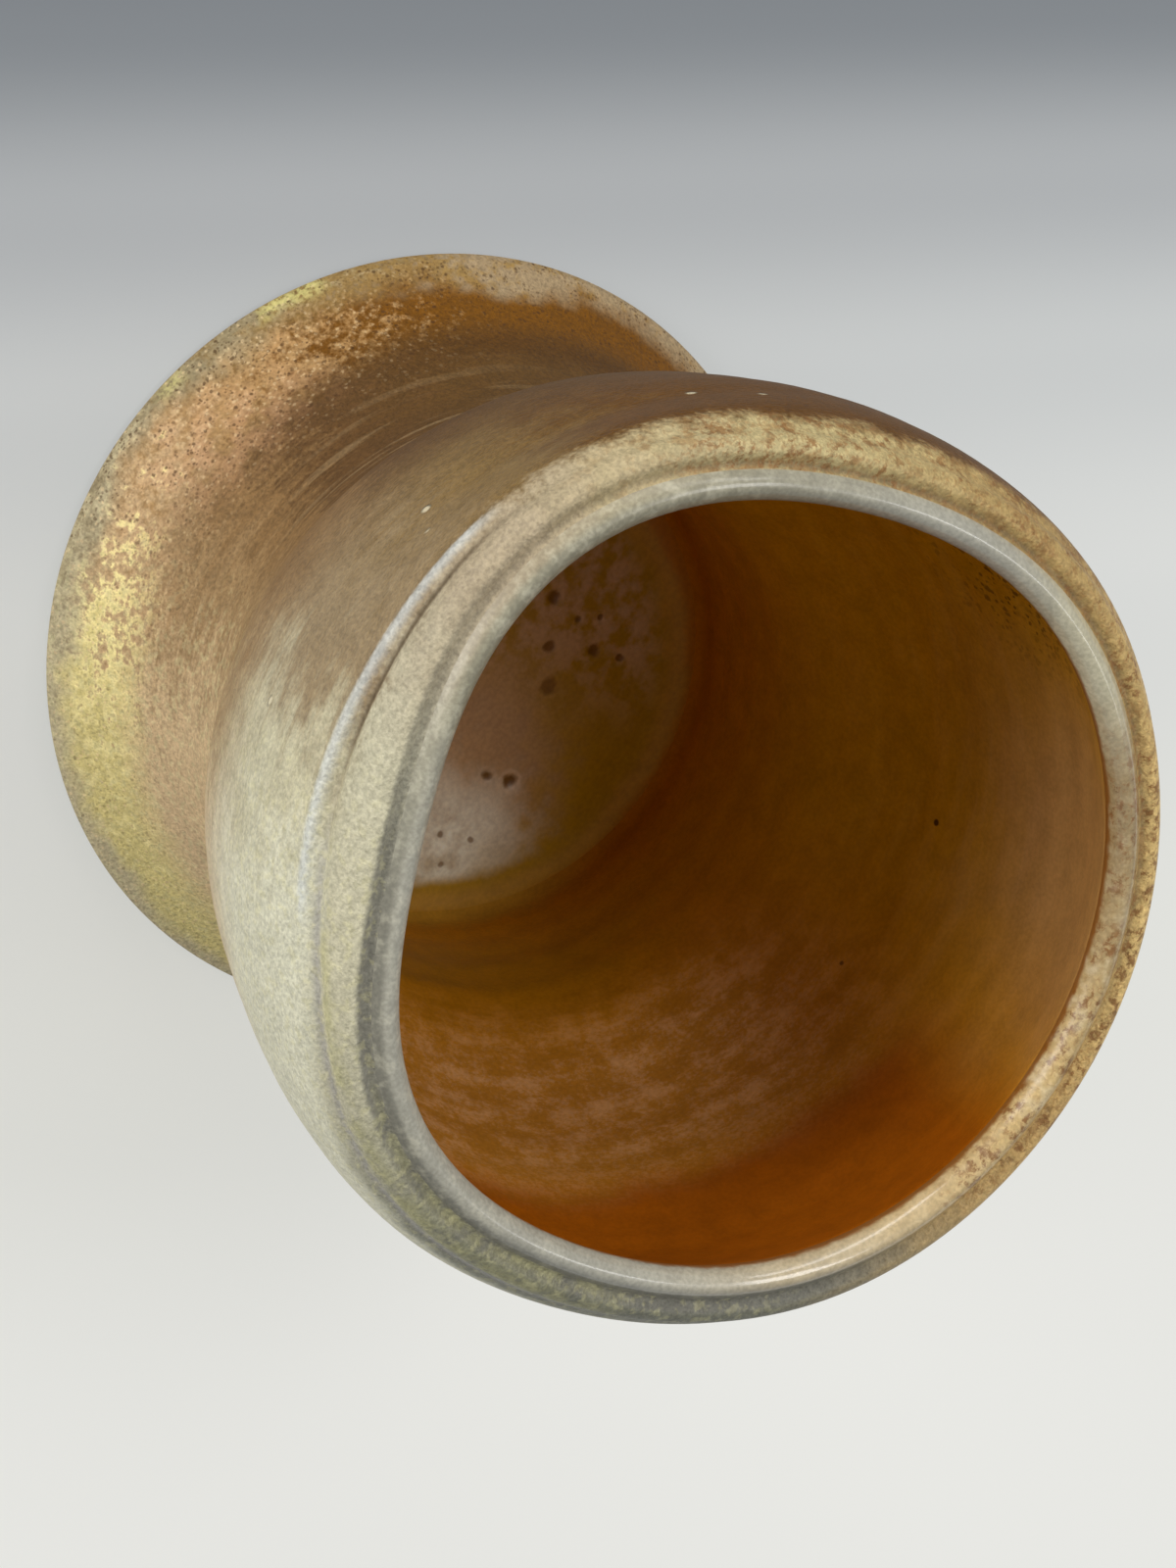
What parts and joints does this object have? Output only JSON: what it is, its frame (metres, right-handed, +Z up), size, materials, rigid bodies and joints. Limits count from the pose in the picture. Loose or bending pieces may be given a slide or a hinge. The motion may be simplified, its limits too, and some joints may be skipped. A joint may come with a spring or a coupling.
{
  "type": "footed cup",
  "caption": "Thrown stoneware cup on a flared foot, its thick rim worked out of round, with ash glaze outside and a glaze pool on the floor inside.",
  "frame": {"origin": "on the standing surface, under the middle of the foot", "axes": "+Z up along the throwing axis towards the mouth; the dented side of the rim faces -Y"},
  "size_m": [0.1014, 0.1027, 0.1],
  "materials": {
    "ash_stoneware": "satin",
    "foot_stoneware": "matte",
    "slip": "matte",
    "foot_ash": "satin",
    "lip_ash": "gloss",
    "pool_glaze": "gloss"
  },
  "bodies": {
    "root": {"bowl": "ash_stoneware", "foot": "foot_stoneware", "luting_slip": "slip", "foot_glaze": "foot_ash", "lip_glaze": "lip_ash", "floor_glaze": "pool_glaze"}
  },
  "joints": []
}
